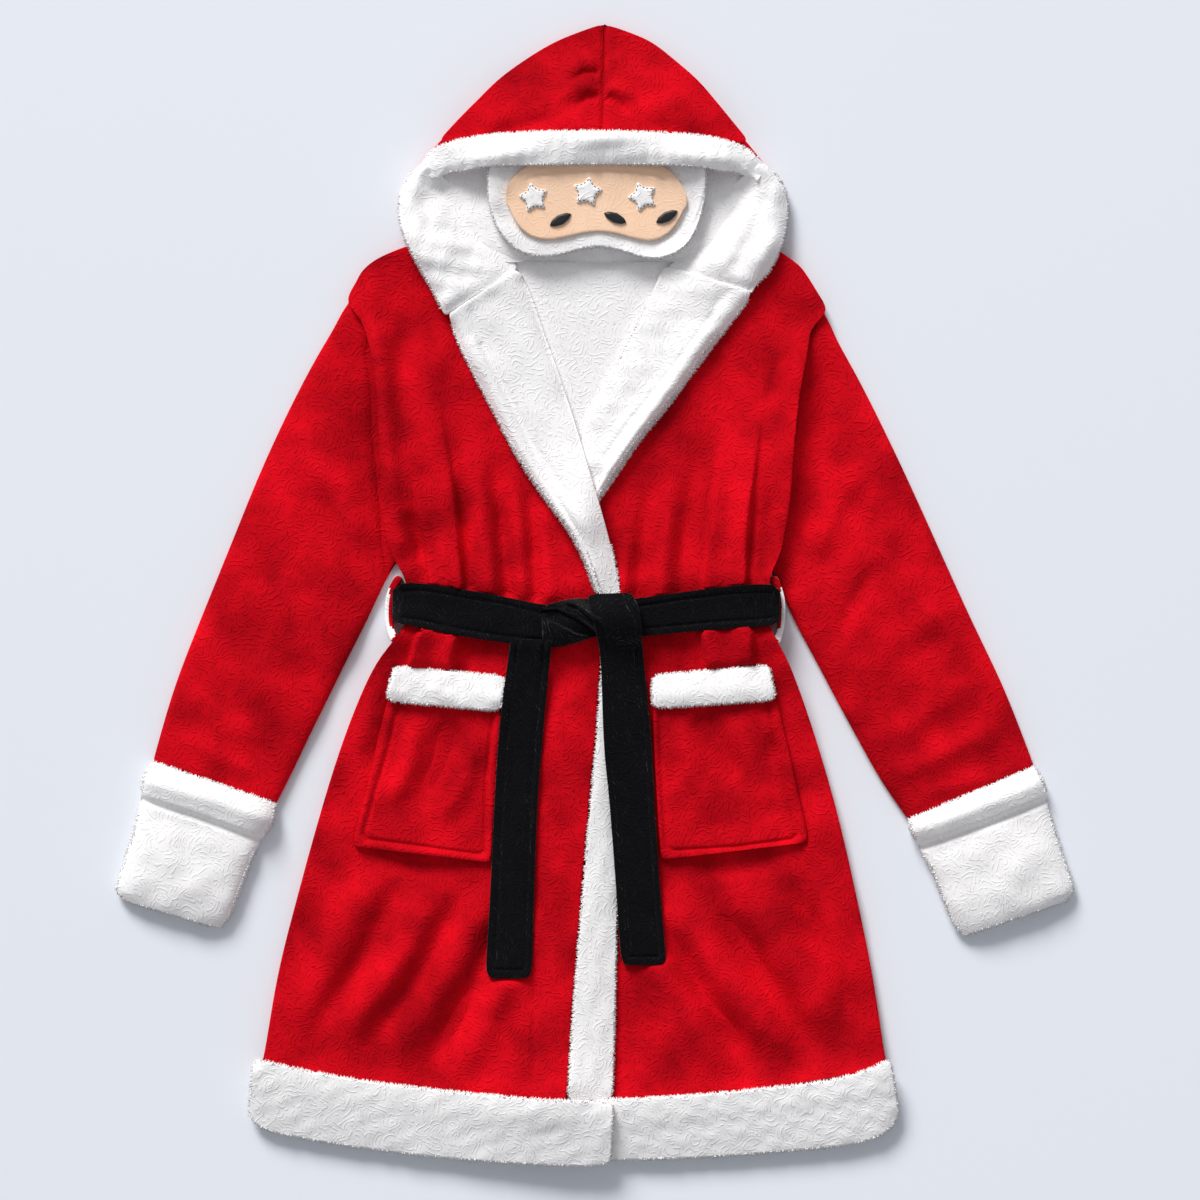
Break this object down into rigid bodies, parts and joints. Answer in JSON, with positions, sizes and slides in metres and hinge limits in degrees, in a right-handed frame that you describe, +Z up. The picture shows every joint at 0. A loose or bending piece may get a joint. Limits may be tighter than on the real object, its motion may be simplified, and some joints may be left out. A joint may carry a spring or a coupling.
{
  "type": "plush hooded robe",
  "caption": "Plush hooded robe with a tie belt, laid flat with its fronts closed: red cloth, white plush trims, black belt.",
  "frame": {"origin": "on the floor under the middle of the robe's bounding box", "axes": "+Z up off the floor, +Y from the hem to the hood, +X to the wearer's left"},
  "size_m": [1.01, 1.194, 0.0541],
  "materials": {
    "red_plush": "embossed short-pile plush",
    "white_plush": "deep embossed plush",
    "black_plush": "embossed short-pile plush",
    "peach_velour": "smooth velour"
  },
  "bodies": {
    "root": {"back": "red_plush", "front_right": "red_plush", "front_left": "red_plush", "sleeve_right": "red_plush", "sleeve_left": "red_plush", "cuff_right": "white_plush", "cuff_left": "white_plush", "hem_back": "white_plush", "hem_right": "white_plush", "hem_left": "white_plush", "front_band_right": "white_plush", "lapel_right": "white_plush", "lapel_left": "white_plush", "hood_back": "red_plush", "hood_front_right": "red_plush", "hood_front_left": "red_plush", "hood_lining": "white_plush", "hood_side_right": "white_plush", "hood_side_left": "white_plush", "hood_brim": "white_plush", "hood_flap": "white_plush", "flap_panel": "peach_velour", "pocket_right": "red_plush", "pocket_left": "red_plush", "pocket_band_right": "white_plush", "pocket_band_left": "white_plush", "belt_back": "black_plush", "belt_right": "black_plush", "belt_left": "black_plush", "belt_knot": "black_plush", "belt_tail_right": "black_plush", "belt_tail_left": "black_plush", "belt_loop_right": "red_plush", "belt_loop_left": "red_plush"}
  },
  "joints": []
}
